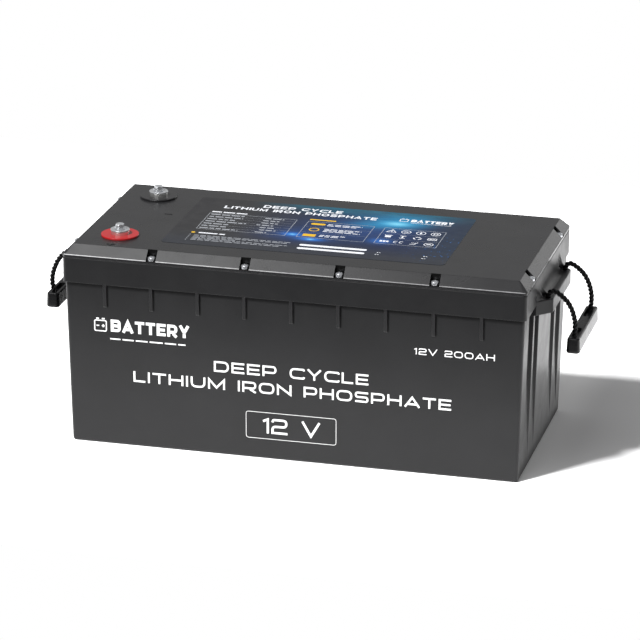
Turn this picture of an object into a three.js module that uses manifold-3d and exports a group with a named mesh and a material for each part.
// Deep cycle battery: a sealed 12 V lithium iron phosphate pack in a moulded case,
// with a screwed lid, two bolt terminals and a rope handle at each end.
// Millimetres, +Z up. The origin is the centre of the case's bottom face.
// +X runs along the case to the right, -Y is the front long side, and the
// terminals stand near the -X end of the lid.

import * as THREE from "three";
import { mergeVertices } from "three/addons/utils/BufferGeometryUtils.js";
import Module from "manifold-3d";

const wasm = await Module();
wasm.setup();

// ---------------------------------------------------------------- dimensions
// HALF_X and HALF_Y are half sizes about the origin, Z0 and Z1 lower and upper faces,
// and R a radius. OVERCUT is how far cutting tools usually run past a face.

const OVERCUT = 3;

// Case
const BAND_HALF_X = 246.0;
const BAND_HALF_Y = 119.0;
const BAND_R = 4.5;
const BAND_Z0 = 178.0; // lower edge of the thick upper band
const CASE_TOP = 204.8;
const WALL_TOP_HALF_X = 243.7; // wall just below the band
const WALL_TOP_HALF_Y = 116.7;
const WALL_BOTTOM_HALF_X = 239.9;
const WALL_BOTTOM_HALF_Y = 112.2;
const WALL_R = 4.0;
const WALL_OVERLAP = 12; // the tapered wall runs this far up inside the band
const FOOT_CHAMFER = 3.0;
const FLOOR = 5.0;
const CAVITY_HALF_X = 234.5;
const CAVITY_HALF_Y = 109.5;
const OUTLINE_STEPS = 5; // segments in each outer corner of the case and lid
const INNER_STEPS = 3; // segments in each inner corner

// Step around the mouth of the case, with the gasket lying in it
const GASKET_STEP = { halfX: 236.8, halfY: 111.3, radius: 6, z: 203.0 };
const GASKET_GAP = 0.3;

// Long side ribs, and the [|y|, z] profile of one
const RIB_PITCH = 50;
const RIBS_EACH_WAY = 4; // on either side of the middle one
const RIB_WIDTH = 3.2;
const RIB_Z0 = 154.0;
const RIB_PROFILE = [
  [112, 181],
  [112, RIB_Z0 - 3],
  [116.6, RIB_Z0],
  [117.5, RIB_Z0 + 2],
  [118.85, 176.5],
  [118.85, 181],
];

// End wall grooves, as ranges of |y|
const GROOVES = [
  [35, 57],
  [65, 90],
];
const GROOVE_TOP_X = 237.4; // groove floor at the band's lower edge
const GROOVE_BOTTOM_X = 240.4; // groove floor runs out at the bottom
const GROOVE_OUTER_X = 252;
const GROOVE_Z0 = 4.0;

// Rope ledges
const LEDGE_X = 260.5;
const LEDGE_Z0 = 166.4;
const LEDGE_Z1 = 182.0;
const LEDGE_ROOT_HALF_Y = 65.0;
const LEDGE_TIP_HALF_Y = 49.5;
const FILLET_TOP = 199.0; // top of the hollow fillet above the ledge
const FILLET_X = 256.0; // its outer end
const FILLET_STEPS = 8;
const ROPE_Y = 47.2;
const ROPE_HOLE_X = 254.4;
const ROPE_HOLE_R = 3.0;
const BOWL_R = 8.4;
const KNOT_POCKET_R = 4.8;
const KNOT_POCKET_TOP = 176.0;

// Plan of a ledge at the +X end, [x, y]
const LEDGE_PLAN = [
  [238, -LEDGE_ROOT_HALF_Y - 0.5],
  [245.5, -LEDGE_ROOT_HALF_Y],
  [LEDGE_X, -LEDGE_TIP_HALF_Y],
  [LEDGE_X, LEDGE_TIP_HALF_Y],
  [245.5, LEDGE_ROOT_HALF_Y],
  [238, LEDGE_ROOT_HALF_Y + 0.5],
];

// Lid
const LID_Z0 = 205.0;
const LID_EDGE_Z = 208.3; // top of the upright edge, where the slope starts
const LID_TOP = 218.0;
const LID_INSET = 9.4;
const LID_SKIN_Z = 214.8; // underside of the top plate
const LID_CAVITY_HALF_X = 232.0;
const LID_CAVITY_HALF_Y = 105.0;
const LIP_Z0 = 199.0;
const NOTCH_WIDTH = 10.0;
const NOTCH_DEPTH = 10.3;
const NOTCH_FLOOR = 207.6;

// Raised polarity marks, made of straight bars
const MARK_WIDTH = 2;
const MARK_HEIGHT = 0.6;
const PLUS_LENGTH = 9;
const PLUS_Y = -102.6;
const MINUS_LENGTH = 8.4;
const MINUS_CENTRE = [-169.7, 13.9];

// Lid screws
const SCREW_INSET = 4.6;
const SCREW_LONG_X = [-150, -50, 50, 150];
const SCREW_END_Y = [-76, 76];
const SCREW_HEAD_R = 4.1;
const SCREW_HEAD_HEIGHT = 4.7;
const SCREW_SHANK_R = 1.6;
const SCREW_TIP_Z = 193.0;

// Terminals
const TERMINAL_X = -197.5;
const TERMINAL_Y = 70.5;
const COLLAR_R = 20.0;
const COLLAR_TOP = 220.2;
const POST_R = 9.8; // plated post above the lid
const POST_TOP = 223.5;
const BOLT_R = 2.9;
const BORE_R = 3.2;
const FLAT_WASHER_R = 10.2;
const FLAT_WASHER_Z0 = POST_TOP + 0.1;
const FLAT_WASHER_Z1 = POST_TOP + 1.6;
const SPRING_R = 5.9;
const SPRING_Z0 = POST_TOP + 1.7;
const SPRING_Z1 = POST_TOP + 3.1;
const HEX_ACROSS_FLATS = 8.4;
const HEX_Z0 = POST_TOP + 3.2;
const BOLT_TOP = 230.6;
const HEX_Z1 = BOLT_TOP - 0.5;

// Label
const LABEL = { halfX: 151.3, halfY: 81.7, radius: 6, x: 0.6, y: 0.2, thickness: 0.3 };
const LABEL_Z0 = LID_TOP + 0.02;

// Handles: joints of the rope as [|x|, z] in the plane of each leg. The left
// grip hangs a little closer to the case than the right one.
const ROPE_R = 2.4;
const ROPE_FOOT = [ROPE_HOLE_X, 184.6];
const ROPE_KNEE = [261.8, 188.3];
const HANDLES = [
  { name: "right", side: 1, bend: [279.6, 172.6], end: [282.8, 141.8] },
  { name: "left", side: -1, bend: [278.4, 170.6], end: [278.2, 142.0] },
];
const KNOT_R = 4.3;
const KNOT_Z = 171.3;
const ROPE_TURN = 7; // size of the rope's two turns inside the grip
const ROPE_PATH_STEPS = 30;
const GRIP_HALF_Y = 52.8;
const GRIP_HALF_X = 7.1;
const GRIP_Z0 = 125.6;
const GRIP_Z1 = 141.8;
const GRIP_CAP = 1.6; // length of the tapered end caps
const GRIP_CAP_SCALE = 0.86;
const GRIP_CAP_Z = 133.6; // height that the caps taper towards
const CHANNEL_Z = 133.2;
const CHANNEL_R = 3.3;

// Cells
const CELL_THICKNESS = 54.0;
const CELL_WIDTH = 174.0;
const CELL_COUNT = 4;
const CELL_Z0 = 5.3;
const CELL_Z1 = 200.2;
const CELL_PITCH = 56.2;
const CELL_MID_X = 75.0;
const PACK_PLATE_TOP = 196; // top of the spacers and end plates
const PAD_R = 9;
const PAD_TOP = 203.2;
const PAD_Y = 60.0;
const BUSBAR_Z0 = 203.4;
const BUSBAR_Z1 = 205.4;
const BUSBAR_FOLD = 2.5; // rise of the expansion fold

const cellX = (i) => CELL_MID_X + (i - (CELL_COUNT - 1) / 2) * CELL_PITCH;
const FIRST_CELL_X = cellX(0);
const LAST_CELL_X = cellX(CELL_COUNT - 1);
const BLOCK_X0 = FIRST_CELL_X - CELL_THICKNESS / 2;
const BLOCK_X1 = LAST_CELL_X + CELL_THICKNESS / 2;

// Management board, at the -X end of the cells
const SPREADER_X1 = BLOCK_X0 - 4;
const BOARD_X = SPREADER_X1 - 9; // +X face of the board
const STUD_Y = 30;
const STUD_Z = 150;
const CABLE_R = 4;

// Cable centrelines, [x, y, z]
const CELL_NEGATIVE_PATH = [
  [LAST_CELL_X - 5, -PAD_Y + 4, 207.7],
  [LAST_CELL_X - 14, -PAD_Y + 16, 207.8],
  [LAST_CELL_X - 26, -30, 207.2],
  [LAST_CELL_X - 50, -25, 206.6],
  [40, -25, 206.6],
  [-10, -25, 206.6],
  [-38, -26, 205],
  [-56, -28, 192],
  [BOARD_X - 9.2, -STUD_Y, 176],
  [BOARD_X - 8.4, -STUD_Y, 160],
];
const NEGATIVE_PATH = [
  [BOARD_X - 8.4, STUD_Y, 160],
  [BOARD_X - 9.4, 31, 176],
  [-72, 34, 189],
  [-100, 44, 192],
  [-142, 62, 192],
  [-168, 69, 198],
  [TERMINAL_X + 8.6, TERMINAL_Y, 206.2],
];
const POSITIVE_PATH = [
  [FIRST_CELL_X - 4, -PAD_Y, 207.7],
  [FIRST_CELL_X - 22, -PAD_Y, 207.7],
  [FIRST_CELL_X - 42, -PAD_Y, 205],
  [-80, -61, 194],
  [-120, -63, 190],
  [-158, -68, 194],
  [TERMINAL_X + 8.6, -TERMINAL_Y, 206.2],
];

// ----------------------------------------------------------------- materials

const FINISH = {
  case: { color: 0x46474a, roughness: 0.42 },
  lid: { color: 0x46474a, roughness: 0.38 },
  gasket: { color: 0x1a1a1a, roughness: 0.9 },
  screw: { color: 0xc9ccd0, roughness: 0.3, metalness: 1 },
  label: { color: 0x1d2733, roughness: 0.3 },
  redCollar: { color: 0xf23a38, roughness: 0.3 },
  blackCollar: { color: 0x17181a, roughness: 0.3 },
  post: { color: 0xd8d8d6, roughness: 0.3, metalness: 1 },
  flatWasher: { color: 0xd4d6d9, roughness: 0.25, metalness: 1 },
  springWasher: { color: 0xb9bcc0, roughness: 0.3, metalness: 1 },
  bolt: { color: 0xd4d6d9, roughness: 0.22, metalness: 1 },
  rope: { color: 0x101113, roughness: 0.9 },
  grip: { color: 0x2a2b2e, roughness: 0.4 },
  cell: { color: 0x3f6fb0, roughness: 0.35, metalness: 0.1 },
  spacer: { color: 0xd8d2b8, roughness: 0.7 },
  endPlate: { color: 0xd9cf8a, roughness: 0.6 },
  foam: { color: 0x6c6f73, roughness: 0.95 },
  busbar: { color: 0xd5d7da, roughness: 0.3, metalness: 1 },
  heatSpreader: { color: 0xaeb2b6, roughness: 0.4, metalness: 1 },
  board: { color: 0x1f6b3a, roughness: 0.5 },
  blackCable: { color: 0x17181a, roughness: 0.6 },
  redCable: { color: 0xc8322e, roughness: 0.6 },
};

// ------------------------------------------------------------------- helpers

// Closed three.js geometry to a solid, with shared vertices merged
function toSolid(geometry) {
  let merged = geometry.index ? geometry.toNonIndexed() : geometry.clone();
  merged.deleteAttribute("normal");
  merged.deleteAttribute("uv");
  merged = mergeVertices(merged, 1e-4);
  const source = merged.index.array;
  const kept = []; // triangles that have not collapsed
  for (let i = 0; i < source.length; i += 3) {
    const [a, b, c] = [source[i], source[i + 1], source[i + 2]];
    if (a !== b && b !== c && c !== a) kept.push(a, b, c);
  }
  return new wasm.Manifold(
    new wasm.Mesh({
      numProp: 3,
      vertProperties: new Float32Array(merged.attributes.position.array),
      triVerts: new Uint32Array(kept),
    }),
  );
}

function toGeometry(solid) {
  const mesh = solid.getMesh();
  const geometry = new THREE.BufferGeometry();
  const positions = new Float32Array(mesh.vertProperties);
  geometry.setAttribute("position", new THREE.BufferAttribute(positions, 3));
  geometry.setIndex(Array.from(mesh.triVerts));
  geometry.computeVertexNormals();
  return geometry;
}

const union = (...solids) => solids.reduce((a, b) => a.add(b));
const cut = (solid, ...tools) => tools.reduce((a, b) => a.subtract(b), solid);

// Range from near to far on the given side of zero, in rising order
const sideRange = (side, near, far) => (side > 0 ? [near, far] : [-far, -near]);

// Outline with its first coordinate mirrored for side -1
const mirrorOutline = (outline, side) => outline.map(([u, v]) => [side * u, v]);

// Points of a rectangle with rounded corners, counter-clockwise
function roundedRect(halfX, halfY, radius, steps, centreX = 0, centreY = 0) {
  const points = [];
  const corners = [
    [halfX - radius, halfY - radius],
    [-halfX + radius, halfY - radius],
    [-halfX + radius, -halfY + radius],
    [halfX - radius, -halfY + radius],
  ];
  corners.forEach(([x, y], quarter) => {
    for (let i = 0; i <= steps; i++) {
      const angle = (quarter + i / steps) * (Math.PI / 2);
      points.push([
        centreX + x + radius * Math.cos(angle),
        centreY + y + radius * Math.sin(angle),
      ]);
    }
  });
  return points;
}

// Extrusion of [u, v] points along +Z; three.js winds them the right way round
function extrude(outline, options) {
  const shape = new THREE.Shape(outline.map(([u, v]) => new THREE.Vector2(u, v)));
  return new THREE.ExtrudeGeometry(shape, { bevelEnabled: false, ...options });
}

// Upright prism through [z, outline] sections that have the same point count
function loft(sections) {
  const base = sections[0][1];
  const spans = sections.length - 1;
  const geometry = extrude(base, { depth: spans, steps: spans });
  const position = geometry.attributes.position;
  for (let i = 0; i < position.count; i++) {
    const [z, outline] = sections[Math.round(position.getZ(i))];
    let nearest = Infinity;
    let index = 0;
    base.forEach(([x, y], j) => {
      const distance = (x - position.getX(i)) ** 2 + (y - position.getY(i)) ** 2;
      if (distance < nearest) {
        nearest = distance;
        index = j;
      }
    });
    position.setXYZ(i, ...outline[index], z);
  }
  return toSolid(geometry);
}

// Prism of an outline in x and y
function prismZ(outline, z0, z1) {
  return toSolid(extrude(outline, { depth: z1 - z0 }).translate(0, 0, z0));
}

// Prism of an outline in x and z, running along y
function prismY(outline, y0, y1) {
  return toSolid(extrude(outline, { depth: y1 - y0 }).rotateX(Math.PI / 2).translate(0, y1, 0));
}

// Prism of an outline in y and z, running along x
function prismX(outline, x0, x1) {
  const turn = new THREE.Matrix4().makeBasis(
    new THREE.Vector3(0, 1, 0),
    new THREE.Vector3(0, 0, 1),
    new THREE.Vector3(1, 0, 0),
  );
  return toSolid(extrude(outline, { depth: x1 - x0 }).applyMatrix4(turn).translate(x0, 0, 0));
}

function box(x0, x1, y0, y1, z0, z1) {
  const geometry = new THREE.BoxGeometry(x1 - x0, y1 - y0, z1 - z0);
  return toSolid(geometry.translate((x0 + x1) / 2, (y0 + y1) / 2, (z0 + z1) / 2));
}

function cylinderZ(x, y, radius, z0, z1, segments, topRadius = radius) {
  const geometry = new THREE.CylinderGeometry(topRadius, radius, z1 - z0, segments);
  return toSolid(geometry.rotateX(Math.PI / 2).translate(x, y, (z0 + z1) / 2));
}

function cylinderX(y, z, radius, x0, x1) {
  const geometry = new THREE.CylinderGeometry(radius, radius, x1 - x0, 12);
  return toSolid(geometry.rotateZ(Math.PI / 2).translate((x0 + x1) / 2, y, z));
}

// Turned shape: profile of [radius, z] pairs, about a vertical axis
function turned(profile, x, y, segments) {
  const points = profile.map(([radius, z]) => new THREE.Vector2(radius, z));
  const onAxis = profile[0][0] === 0 && profile[profile.length - 1][0] === 0;
  if (!onAxis) points.push(points[0].clone());
  const geometry = new THREE.LatheGeometry(points, segments);
  return toSolid(geometry.rotateX(Math.PI / 2).translate(x, y, 0));
}

// Round-ended rod between two points
function capsule(from, to, radius) {
  const start = new THREE.Vector3(...from);
  const end = new THREE.Vector3(...to);
  const length = start.distanceTo(end);
  const arc = (centre, degrees) =>
    degrees.map((degree) => {
      const angle = (degree * Math.PI) / 180;
      return new THREE.Vector2(radius * Math.cos(angle), centre + radius * Math.sin(angle));
    });
  const points = [
    new THREE.Vector2(0, -radius),
    ...arc(0, [-60, -30, 0]),
    ...arc(length, [0, 30, 60]),
    new THREE.Vector2(0, length + radius),
  ];
  const turn = new THREE.Quaternion().setFromUnitVectors(
    new THREE.Vector3(0, 1, 0),
    end.sub(start).normalize(),
  );
  const geometry = new THREE.LatheGeometry(points, 10).applyQuaternion(turn);
  return toSolid(geometry.translate(...start));
}

// Round tube along a curve
function tube(curve, radius, steps, sides) {
  const circle = [];
  for (let i = 0; i < sides; i++) {
    const angle = (i / sides) * 2 * Math.PI;
    circle.push([radius * Math.cos(angle), radius * Math.sin(angle)]);
  }
  return toSolid(extrude(circle, { steps, extrudePath: curve }));
}

const smoothCurve = (points) => new THREE.CatmullRomCurve3(points, false, "centripetal");

const group = new THREE.Group();
group.name = "deep_cycle_battery";

function add(name, solid, finish) {
  const mesh = new THREE.Mesh(toGeometry(solid), new THREE.MeshStandardMaterial(finish));
  mesh.name = name;
  group.add(mesh);
}

// ---------------------------------------------------------------------- case

// Screw places in order round the lid: front, right end, back, left end
const longSideScrews = (side, xs) =>
  xs.map((x) => ({ x, y: side * (BAND_HALF_Y - SCREW_INSET), side, onLongSide: true }));
const endScrews = (side, ys) =>
  ys.map((y) => ({ x: side * (BAND_HALF_X - SCREW_INSET), y, side, onLongSide: false }));
const SCREWS = [
  ...longSideScrews(-1, SCREW_LONG_X),
  ...endScrews(1, SCREW_END_Y),
  ...longSideScrews(1, [...SCREW_LONG_X].reverse()),
  ...endScrews(-1, [...SCREW_END_Y].reverse()),
];

const bandOutline = roundedRect(BAND_HALF_X, BAND_HALF_Y, BAND_R, OUTLINE_STEPS);

// Tapered wall, chamfered at the foot
function makeWall() {
  const bottom = (inset, radius) =>
    roundedRect(WALL_BOTTOM_HALF_X - inset, WALL_BOTTOM_HALF_Y - inset, radius, OUTLINE_STEPS);
  const slope = (WALL_TOP_HALF_X - WALL_BOTTOM_HALF_X) / BAND_Z0;
  const spread = slope * WALL_OVERLAP;
  const top = roundedRect(
    WALL_TOP_HALF_X + spread,
    WALL_TOP_HALF_Y + spread,
    WALL_R,
    OUTLINE_STEPS,
  );
  return loft([
    [0, bottom(FOOT_CHAMFER, WALL_R - 2.5)],
    [FOOT_CHAMFER * 0.35, bottom(1, WALL_R - 0.8)],
    [FOOT_CHAMFER, bottom(0, WALL_R)],
    [BAND_Z0 + WALL_OVERLAP, top],
  ]);
}

// Thick upper band, eased at its lower edge
function makeBand() {
  const eased = roundedRect(BAND_HALF_X - 0.6, BAND_HALF_Y - 0.6, BAND_R - 0.5, OUTLINE_STEPS);
  return loft([
    [BAND_Z0, eased],
    [BAND_Z0 + 0.8, bandOutline],
    [CASE_TOP, bandOutline],
  ]);
}

// Groove cutters for one end wall; the grooves deepen towards the band
function grooveCutters(side) {
  const profile = mirrorOutline(
    [
      [GROOVE_BOTTOM_X, GROOVE_Z0],
      [GROOVE_OUTER_X, GROOVE_Z0],
      [GROOVE_OUTER_X, BAND_Z0],
      [GROOVE_TOP_X, BAND_Z0],
    ],
    side,
  );
  return GROOVES.flatMap((range) =>
    [-1, 1].map((ySide) => prismY(profile, ...sideRange(ySide, ...range))),
  );
}

// Rope ledge with a hollow fillet above it
function makeLedge(side) {
  const plan = mirrorOutline(LEDGE_PLAN, side);
  const profile = [
    [240, LEDGE_Z1 - 4],
    [FILLET_X, LEDGE_Z1 - 4],
    [FILLET_X, LEDGE_Z1 + 0.05],
  ];
  for (let i = 1; i < FILLET_STEPS; i++) {
    const angle = (i / FILLET_STEPS) * (Math.PI / 2);
    profile.push([
      FILLET_X - (FILLET_X - BAND_HALF_X) * Math.sin(angle),
      FILLET_TOP - (FILLET_TOP - LEDGE_Z1) * Math.cos(angle),
    ]);
  }
  profile.push([BAND_HALF_X - 0.05, FILLET_TOP], [240, FILLET_TOP]);
  const fillet = prismY(mirrorOutline(profile, side), -LEDGE_ROOT_HALF_Y, LEDGE_ROOT_HALF_Y)
    .intersect(prismZ(plan, LEDGE_Z0, FILLET_TOP + 5));
  return [prismZ(plan, LEDGE_Z0, LEDGE_Z1), fillet];
}

// Bowl above the ledge, rope hole through it and knot pocket below
function ropeHoleCutters(x, y) {
  return [
    cylinderZ(x, y, BOWL_R, LEDGE_Z1, FILLET_TOP + 6, 28),
    cylinderZ(x, y, ROPE_HOLE_R, KNOT_POCKET_TOP - 1, LEDGE_Z1 + 2, 12),
    cylinderZ(x, y, KNOT_POCKET_R, LEDGE_Z0 - 2, KNOT_POCKET_TOP, 12),
  ];
}

function makeCase() {
  let body = makeWall();
  for (const side of [-1, 1]) {
    for (let i = -RIBS_EACH_WAY; i <= RIBS_EACH_WAY; i++) {
      const x = i * RIB_PITCH;
      const profile = mirrorOutline(RIB_PROFILE, side);
      body = body.add(prismX(profile, x - RIB_WIDTH / 2, x + RIB_WIDTH / 2));
    }
  }
  for (const side of [-1, 1]) body = cut(body, ...grooveCutters(side));
  body = body.add(makeBand());
  for (const side of [-1, 1]) {
    body = union(body, ...makeLedge(side));
    for (const y of [-ROPE_Y, ROPE_Y]) {
      body = cut(body, ...ropeHoleCutters(side * ROPE_HOLE_X, y));
    }
  }
  const { halfX, halfY, radius, z } = GASKET_STEP;
  const cavity = roundedRect(CAVITY_HALF_X, CAVITY_HALF_Y, 5, INNER_STEPS);
  return cut(
    body,
    prismZ(cavity, FLOOR, CASE_TOP + 5),
    prismZ(roundedRect(halfX, halfY, radius, INNER_STEPS), z, CASE_TOP + 5),
    ...SCREWS.map((screw) => cylinderZ(screw.x, screw.y, 1.95, 190.5, CASE_TOP + 2, 8)),
  );
}

add("case", makeCase(), FINISH.case);

// ------------------------------------------------------- lid, gasket and label

// Locating lip that hangs inside the case mouth
function makeLip() {
  return cut(
    prismZ(roundedRect(234.1, 109.1, 4.6, INNER_STEPS), LIP_Z0, LID_Z0 + 2),
    prismZ(roundedRect(LID_CAVITY_HALF_X, 107.0, 3, INNER_STEPS), LIP_Z0 - 1, LID_Z0 + 3),
  );
}

// Notch in the lid's edge, open outwards and upwards
function notchCutter({ x, y, side, onLongSide }) {
  const half = NOTCH_WIDTH / 2;
  const edge = onLongSide ? BAND_HALF_Y : BAND_HALF_X;
  const inward = sideRange(side, edge - NOTCH_DEPTH, edge + OVERCUT);
  const xRange = onLongSide ? [x - half, x + half] : inward;
  const yRange = onLongSide ? inward : [y - half, y + half];
  return box(...xRange, ...yRange, NOTCH_FLOOR, LID_TOP + OVERCUT);
}

// Raised bar on the lid, centred at x, y
function markBar(x, y, sizeX, sizeY) {
  return box(
    x - sizeX / 2,
    x + sizeX / 2,
    y - sizeY / 2,
    y + sizeY / 2,
    LID_TOP - 1,
    LID_TOP + MARK_HEIGHT,
  );
}

function makeLid() {
  const topOutline = roundedRect(
    BAND_HALF_X - LID_INSET,
    BAND_HALF_Y - LID_INSET,
    1.2,
    OUTLINE_STEPS,
  );
  let lid = loft([
    [LID_Z0, bandOutline],
    [LID_EDGE_Z, bandOutline],
    [LID_TOP, topOutline],
  ]);
  const cavity = roundedRect(LID_CAVITY_HALF_X, LID_CAVITY_HALF_Y, 5, INNER_STEPS);
  lid = lid.subtract(prismZ(cavity, LID_Z0 - 1, LID_SKIN_Z)).add(makeLip());
  for (const screw of SCREWS) {
    const bore = cylinderZ(screw.x, screw.y, 2.1, LID_Z0 - 2, NOTCH_FLOOR + 2, 8);
    lid = cut(lid, notchCutter(screw), bore);
  }
  for (const y of [-TERMINAL_Y, TERMINAL_Y]) {
    const hole = cylinderZ(TERMINAL_X, y, POST_R + 0.25, LID_SKIN_Z - 2, LID_TOP + OVERCUT, 32);
    lid = lid.subtract(hole);
  }
  return union(
    lid,
    markBar(TERMINAL_X, PLUS_Y, PLUS_LENGTH, MARK_WIDTH),
    markBar(TERMINAL_X, PLUS_Y, MARK_WIDTH, PLUS_LENGTH),
    markBar(...MINUS_CENTRE, MINUS_LENGTH, MARK_WIDTH),
  );
}

function makeGasket() {
  const outer = roundedRect(
    GASKET_STEP.halfX - GASKET_GAP,
    GASKET_STEP.halfY - GASKET_GAP,
    GASKET_STEP.radius - GASKET_GAP,
    INNER_STEPS,
  );
  return cut(
    prismZ(outer, GASKET_STEP.z + 0.1, LID_Z0 - 0.1),
    prismZ(roundedRect(234.7, 109.75, 5.2, INNER_STEPS), 202, 206),
  );
}

function makeLabel() {
  const outline = roundedRect(LABEL.halfX, LABEL.halfY, LABEL.radius, 4, LABEL.x, LABEL.y);
  return prismZ(outline, LABEL_Z0, LABEL_Z0 + LABEL.thickness);
}

// Slotted screw, standing on its notch floor
function makeScrew({ x, y }) {
  const headZ0 = NOTCH_FLOOR + 0.05;
  const headTop = NOTCH_FLOOR + SCREW_HEAD_HEIGHT;
  const profile = [
    [0, SCREW_TIP_Z],
    [SCREW_SHANK_R, SCREW_TIP_Z + 3],
    [SCREW_SHANK_R, headZ0],
    [SCREW_HEAD_R, headZ0],
    [SCREW_HEAD_R, NOTCH_FLOOR + SCREW_HEAD_HEIGHT * 0.55],
    [SCREW_HEAD_R * 0.72, headTop],
    [0, headTop],
  ];
  const slot = box(x - 1.7, x + 1.7, y - 0.5, y + 0.5, headTop - 1.2, headTop + 1);
  return turned(profile, x, y, 10).subtract(slot);
}

add("lid", makeLid(), FINISH.lid);
add("lid_gasket", makeGasket(), FINISH.gasket);
SCREWS.forEach((screw, i) => {
  add(`lid_screw_${String(i + 1).padStart(2, "0")}`, makeScrew(screw), FINISH.screw);
});
add("top_label", makeLabel(), FINISH.label);

// ----------------------------------------------------------------- terminals

// [radius, z] profiles
const COLLAR_PROFILE = [
  [POST_R + 0.15, LID_TOP + 0.05],
  [COLLAR_R, LID_TOP + 0.05],
  [COLLAR_R, COLLAR_TOP - 0.7],
  [COLLAR_R - 0.5, COLLAR_TOP - 0.15],
  [COLLAR_R - 1.4, COLLAR_TOP],
  [POST_R + 0.15, COLLAR_TOP],
];
// stem, flange under the lid's top plate, then the post and its blind bore
const POST_PROFILE = [
  [0, 206],
  [7.0, 206],
  [7.0, 211],
  [13.5, 211],
  [13.5, 214.6],
  [POST_R, 214.6],
  [POST_R, POST_TOP],
  [BORE_R, POST_TOP],
  [BORE_R, 209.5],
  [0, 209.5],
];
const FLAT_WASHER_PROFILE = [
  [BORE_R + 0.3, FLAT_WASHER_Z0],
  [FLAT_WASHER_R, FLAT_WASHER_Z0],
  [FLAT_WASHER_R, FLAT_WASHER_Z1 - 0.3],
  [FLAT_WASHER_R - 0.3, FLAT_WASHER_Z1],
  [BORE_R + 0.3, FLAT_WASHER_Z1],
];
const SPRING_PROFILE = [
  [BORE_R + 0.2, SPRING_Z0],
  [SPRING_R, SPRING_Z0],
  [SPRING_R, SPRING_Z1],
  [BORE_R + 0.2, SPRING_Z1],
];

// Ring with a slanting split on its -X side
function makeSpringWasher(y) {
  const split = new THREE.BoxGeometry(6, 0.9, 4)
    .rotateX(0.5)
    .translate(TERMINAL_X - 5, y, (SPRING_Z0 + SPRING_Z1) / 2);
  return turned(SPRING_PROFILE, TERMINAL_X, y, 20).subtract(toSolid(split));
}

// Hexagon head bolt with a round crown
function makeBolt(y) {
  return union(
    cylinderZ(TERMINAL_X, y, HEX_ACROSS_FLATS / Math.sqrt(3), HEX_Z0, HEX_Z1, 6),
    cylinderZ(TERMINAL_X, y, 4.15, BOLT_TOP - 0.6, BOLT_TOP, 24, 3.8),
    cylinderZ(TERMINAL_X, y, BOLT_R, 211.6, HEX_Z0 + 0.2, 16),
  );
}

for (const [name, y, collarFinish] of [
  ["positive", -TERMINAL_Y, FINISH.redCollar],
  ["negative", TERMINAL_Y, FINISH.blackCollar],
]) {
  const turn = (profile, segments) => turned(profile, TERMINAL_X, y, segments);
  add(`${name}_terminal_collar`, turn(COLLAR_PROFILE, 32), collarFinish);
  add(`${name}_terminal_post`, turn(POST_PROFILE, 24), FINISH.post);
  add(`${name}_flat_washer`, turn(FLAT_WASHER_PROFILE, 24), FINISH.flatWasher);
  add(`${name}_spring_washer`, makeSpringWasher(y), FINISH.springWasher);
  add(`${name}_terminal_bolt`, makeBolt(y), FINISH.bolt);
}

// ------------------------------------------------------------- rope handles

// Point at a distance from one [x, z] joint towards another
function along(from, to, distance) {
  const [dx, dz] = [to[0] - from[0], to[1] - from[1]];
  const length = Math.hypot(dx, dz);
  return [from[0] + (dx * distance) / length, from[1] + (dz * distance) / length];
}

// Path of the upper rope: down the front leg, through the grip, up the back leg
function gripRopePath(side, top, end) {
  const leg = (ySide) =>
    [
      [top[0], ROPE_Y, top[1]],
      [end[0], ROPE_Y, end[1]],
      [end[0], ROPE_Y, CHANNEL_Z + ROPE_TURN],
      [end[0], ROPE_Y, CHANNEL_Z],
      [end[0], ROPE_Y - ROPE_TURN, CHANNEL_Z],
    ].map(([x, y, z]) => new THREE.Vector3(side * x, ySide * y, z));
  const [frontTop, frontEnd, frontDown, frontCorner, frontIn] = leg(-1);
  const [backTop, backEnd, backDown, backCorner, backIn] = leg(1);
  const path = new THREE.CurvePath();
  path.add(new THREE.LineCurve3(frontTop, frontEnd));
  path.add(new THREE.LineCurve3(frontEnd, frontDown));
  path.add(new THREE.QuadraticBezierCurve3(frontDown, frontCorner, frontIn));
  path.add(new THREE.LineCurve3(frontIn, backIn));
  path.add(new THREE.QuadraticBezierCurve3(backIn, backCorner, backDown));
  path.add(new THREE.LineCurve3(backDown, backEnd));
  path.add(new THREE.LineCurve3(backEnd, backTop));
  return path;
}

// Tube along a path: its centres lie on chords between evenly spaced points,
// and its directions come from a smooth curve through them
function pathTube(path, radius, steps) {
  const points = path.getSpacedPoints(ROPE_PATH_STEPS);
  const curve = smoothCurve(points);
  curve.getPointAt = (t) => {
    const place = t * ROPE_PATH_STEPS;
    const i = Math.min(ROPE_PATH_STEPS - 1, Math.floor(place));
    return points[i].clone().lerp(points[i + 1], place - i);
  };
  return tube(curve, radius, steps, 8);
}

// Rope end in the ledge, with its stopper knot below
function makeRopeEnd(x, y) {
  const knot = new THREE.SphereGeometry(KNOT_R, 10, 6).rotateX(Math.PI / 2);
  knot.translate(x, y, KNOT_Z);
  return capsule([x, y, 172], [x, y, ROPE_FOOT[1] - 3.15], ROPE_R).add(toSolid(knot));
}

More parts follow.
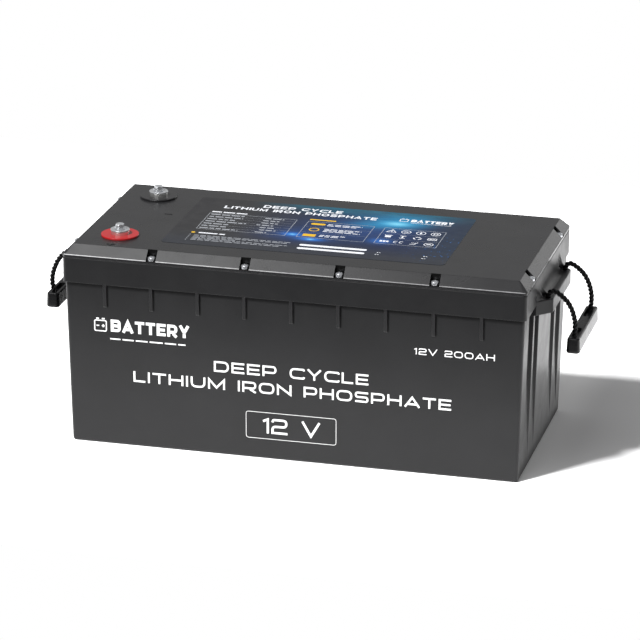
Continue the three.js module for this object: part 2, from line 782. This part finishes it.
// Grip bar with tapered caps and a through channel for the rope
function makeGrip(side, end) {
  const gripX = end[0] + 0.3;
  // right half of the section, [x from the middle, z]
  const half = [
    [GRIP_HALF_X - 2.0, GRIP_Z0],
    [GRIP_HALF_X - 0.6, GRIP_Z0 + 0.7],
    [GRIP_HALF_X, GRIP_Z0 + 2.2],
    [GRIP_HALF_X - 0.6, GRIP_Z1 - 1.6],
    [GRIP_HALF_X - 1.0, GRIP_Z1 - 0.5],
    [GRIP_HALF_X - 2.0, GRIP_Z1],
  ];
  const section = [...half, ...mirrorOutline(half, -1).reverse()];
  const scaled = (scale) =>
    section.map(([x, z]) => [side * gripX + x * scale, GRIP_CAP_Z + (z - GRIP_CAP_Z) * scale]);
  const barHalfY = GRIP_HALF_Y - GRIP_CAP + 0.1; // overlaps the caps a little
  const frontCap = loft([
    [GRIP_HALF_Y - GRIP_CAP, scaled(1)],
    [GRIP_HALF_Y, scaled(GRIP_CAP_SCALE)],
  ]).rotate([90, 0, 0]);
  const bar = union(
    prismY(scaled(1), -barHalfY, barHalfY),
    frontCap,
    frontCap.mirror([0, 1, 0]),
  );

  const channel = pathTube(gripRopePath(side, [end[0], 152], end), CHANNEL_R, 24);
  // long shallow pockets beside the rope holes
  const pockets = [-1, 1].map((ySide) => {
    const [y0, y1] = sideRange(ySide, 19, ROPE_Y + 3.2);
    const x = side * (gripX - 0.2);
    const outline = roundedRect(3.4, (y1 - y0) / 2, 3.2, 3, x, (y0 + y1) / 2);
    return prismZ(outline, GRIP_Z1 - 2.8, GRIP_Z1 + OVERCUT);
  });
  return cut(bar, channel, ...pockets);
}

for (const { name, side, bend, end } of HANDLES) {
  for (const [legName, y] of [
    ["front", -ROPE_Y],
    ["back", ROPE_Y],
  ]) {
    const leg = `${name}_${legName}_rope`;
    const at = ([x, z]) => [side * x, y, z];
    // straight rope between two joints, set back from each
    const link = (from, to, fromGap, toGap) =>
      capsule(at(along(from, to, fromGap)), at(along(to, from, toGap)), ROPE_R);
    add(`${leg}_end`, makeRopeEnd(side * ROPE_HOLE_X, y), FINISH.rope);
    add(`${leg}_lower`, link(ROPE_FOOT, ROPE_KNEE, 3.15, 3.2), FINISH.rope);
    add(`${leg}_middle`, link(ROPE_KNEE, bend, 3.2, 2.8), FINISH.rope);
  }
  const ropePath = gripRopePath(side, along(bend, end, 1.3), end);
  add(`${name}_grip_rope`, pathTube(ropePath, ROPE_R, ROPE_PATH_STEPS), FINISH.rope);
  add(`${name}_grip`, makeGrip(side, end), FINISH.grip);
}

// --------------------------------------------------------------------- cells

// Cell with two terminal pads and a shallow recess in the middle of its top
function makeCell(x) {
  const outline = roundedRect(CELL_THICKNESS / 2, CELL_WIDTH / 2, 2.5, 2, x, 0);
  const pads = [-PAD_Y, PAD_Y].map((y) => cylinderZ(x, y, PAD_R, CELL_Z1 - 1, PAD_TOP, 14));
  const recess = prismZ(roundedRect(6, 13, 5.9, 2, x, 0), CELL_Z1 - 0.8, CELL_Z1 + 2);
  return union(prismZ(outline, CELL_Z0, CELL_Z1), ...pads).subtract(recess);
}

// Busbar across two neighbouring cells, with a raised expansion fold
function makeBusbar(i) {
  const x0 = cellX(i) - PAD_R;
  const x1 = cellX(i + 1) + PAD_R;
  const middle = (x0 + x1) / 2;
  const y = i % 2 === 0 ? PAD_Y : -PAD_Y;
  const profile = [
    [x0, BUSBAR_Z0],
    [middle - 6, BUSBAR_Z0],
    [middle - 3, BUSBAR_Z0 + BUSBAR_FOLD],
    [middle + 3, BUSBAR_Z0 + BUSBAR_FOLD],
    [middle + 6, BUSBAR_Z0],
    [x1, BUSBAR_Z0],
    [x1, BUSBAR_Z1],
    [middle + 7, BUSBAR_Z1],
    [middle + 4, BUSBAR_Z1 + BUSBAR_FOLD],
    [middle - 4, BUSBAR_Z1 + BUSBAR_FOLD],
    [middle - 7, BUSBAR_Z1],
    [x0, BUSBAR_Z1],
  ];
  return prismY(profile, y - PAD_R, y + PAD_R);
}

const endPlate = (x0, x1) => box(x0, x1, -CELL_WIDTH / 2, CELL_WIDTH / 2, CELL_Z0, PACK_PLATE_TOP);

for (let i = 0; i < CELL_COUNT; i++) add(`cell_${i + 1}`, makeCell(cellX(i)), FINISH.cell);
for (let i = 0; i < CELL_COUNT - 1; i++) {
  const x = (cellX(i) + cellX(i + 1)) / 2;
  const spacer = box(x - 0.8, x + 0.8, -86, 86, CELL_Z0 + 1, PACK_PLATE_TOP);
  add(`cell_spacer_${i + 1}`, spacer, FINISH.spacer);
}
// the "front" plate is at the -X end of the cells, the "rear" one at the +X end
add("end_plate_front", endPlate(BLOCK_X0 - 3.5, BLOCK_X0 - 0.4), FINISH.endPlate);
add("end_plate_rear", endPlate(BLOCK_X1 + 0.4, BLOCK_X1 + 3.5), FINISH.endPlate);
add("end_foam", box(BLOCK_X1 + 4, CAVITY_HALF_X - 0.5, -90, 90, CELL_Z0, 180), FINISH.foam);
for (let i = 0; i < CELL_COUNT - 1; i++) add(`busbar_${i + 1}`, makeBusbar(i), FINISH.busbar);

// ---------------------------------------------------------- board and cables

// Board with a row of blocks on its +X face, and two stud blocks and two
// smaller blocks on its -X face
function makeBoard() {
  const faceX = BOARD_X - 0.5; // blocks sink into the board to here
  let board = box(BOARD_X - 1.6, BOARD_X, -75, 75, 25, 165);
  for (let i = 0; i < 6; i++) {
    const y = -66 + i * 23;
    board = board.add(box(faceX, BOARD_X + 4.6, y, y + 16, 95, 110));
  }
  for (const y of [-STUD_Y, STUD_Y]) {
    board = union(
      board,
      box(BOARD_X - 4.6, faceX, y - 8, y + 8, STUD_Z - 8, STUD_Z + 8),
      cylinderX(y, STUD_Z, 3, BOARD_X - 12, BOARD_X - 3),
    );
  }
  return union(
    board,
    box(BOARD_X - 9, faceX, -12, 12, 40, 48),
    box(BOARD_X - 5, faceX, 30, 55, 60, 78),
  );
}

// Flat lug over a board stud
function boardLug(y) {
  return cut(
    box(BOARD_X - 7.4, BOARD_X - 4.9, y - 8, y + 8, 141, 163),
    cylinderX(y, STUD_Z, 3.3, BOARD_X - 10, BOARD_X - 2),
  );
}

// Ring lug round the stem of a terminal post
function postLug(y) {
  return cut(
    cylinderZ(TERMINAL_X, y, 11, 207.9, 210.7, 16),
    cylinderZ(TERMINAL_X, y, 7.6, 205, 213, 16),
  );
}

// Square tab on a cell's front pad
function padTab(x) {
  return box(x - PAD_R, x + PAD_R, -PAD_Y - PAD_R, -PAD_Y + PAD_R, BUSBAR_Z0, BUSBAR_Z1);
}

function cable(path, steps) {
  const points = path.map((point) => new THREE.Vector3(...point));
  return tube(smoothCurve(points), CABLE_R, steps, 7);
}

add("bms_heat_spreader", box(SPREADER_X1 - 4, SPREADER_X1, -80, 80, 20, 170), FINISH.heatSpreader);
add("bms_board", makeBoard(), FINISH.board);
add(
  "cell_negative_cable",
  union(padTab(LAST_CELL_X), cable(CELL_NEGATIVE_PATH, 24), boardLug(-STUD_Y)),
  FINISH.blackCable,
);
add(
  "negative_cable",
  union(boardLug(STUD_Y), cable(NEGATIVE_PATH, 15), postLug(TERMINAL_Y)),
  FINISH.blackCable,
);
add(
  "positive_cable",
  union(padTab(FIRST_CELL_X), cable(POSITIVE_PATH, 15), postLug(-TERMINAL_Y)),
  FINISH.redCable,
);

export default group;
